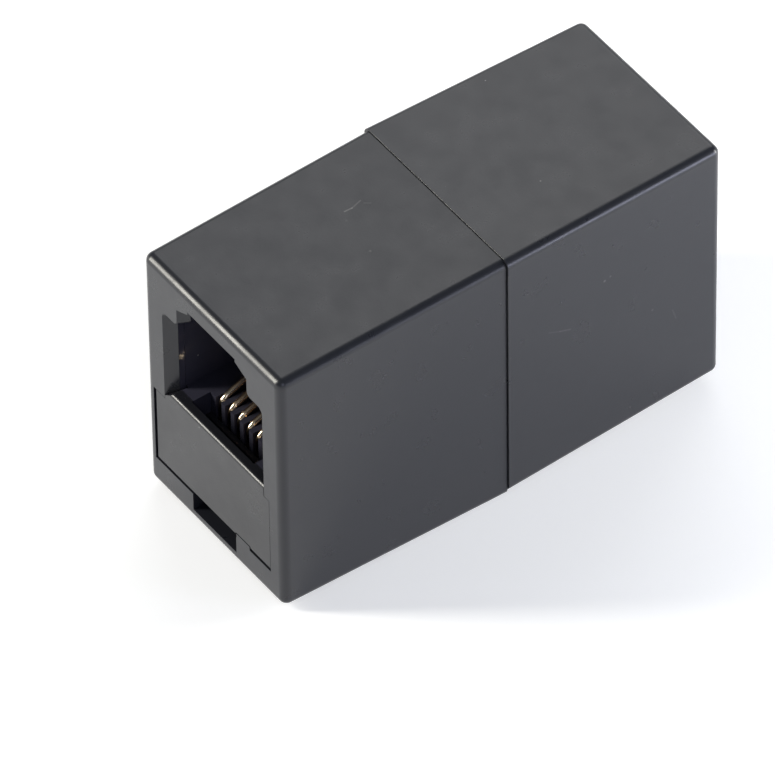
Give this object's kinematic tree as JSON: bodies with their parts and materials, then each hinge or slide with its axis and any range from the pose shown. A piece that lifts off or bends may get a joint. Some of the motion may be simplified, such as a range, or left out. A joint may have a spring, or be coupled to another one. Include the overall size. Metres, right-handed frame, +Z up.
{
  "type": "telephone inline coupler",
  "caption": "Inline telephone coupler: a modular socket at each end of a black drafted case, wired straight through inside.",
  "frame": {"origin": "on the ground under the middle of the overall box", "axes": "+Z up with the latch side on top, +Y from the front socket to the rear one, X across"},
  "size_m": [0.0156, 0.0354, 0.0218],
  "materials": {
    "shell_plastic": "smooth satin moulding, dark grey to black",
    "socket_plastic": "satin moulding, dark grey to black",
    "carrier_plastic": "satin moulding, black",
    "contact_gold": "drawn spring wire with bright gold plating",
    "crimp_tin": "tinned copper tube",
    "lead_white": "white insulation",
    "lead_black": "black insulation",
    "lead_red": "red insulation",
    "lead_green": "green insulation",
    "lead_yellow": "yellow insulation",
    "lead_blue": "blue insulation"
  },
  "bodies": {
    "root": {"front_shell": "shell_plastic", "front_jack_body": "socket_plastic", "front_contact_carrier": "carrier_plastic", "front_contact_1": "contact_gold", "front_contact_2": "contact_gold", "front_contact_3": "contact_gold", "front_contact_4": "contact_gold", "front_contact_5": "contact_gold", "front_contact_6": "contact_gold", "front_crimp_1": "crimp_tin", "front_crimp_2": "crimp_tin", "front_crimp_3": "crimp_tin", "front_crimp_4": "crimp_tin", "front_crimp_5": "crimp_tin", "front_crimp_6": "crimp_tin", "rear_shell": "shell_plastic", "rear_jack_body": "socket_plastic", "rear_contact_carrier": "carrier_plastic", "rear_contact_1": "contact_gold", "rear_contact_2": "contact_gold", "rear_contact_3": "contact_gold", "rear_contact_4": "contact_gold", "rear_contact_5": "contact_gold", "rear_contact_6": "contact_gold", "rear_crimp_1": "crimp_tin", "rear_crimp_2": "crimp_tin", "rear_crimp_3": "crimp_tin", "rear_crimp_4": "crimp_tin", "rear_crimp_5": "crimp_tin", "rear_crimp_6": "crimp_tin", "lead_1": "lead_white", "lead_2": "lead_black", "lead_3": "lead_red", "lead_4": "lead_green", "lead_5": "lead_yellow", "lead_6": "lead_blue"}
  },
  "joints": []
}
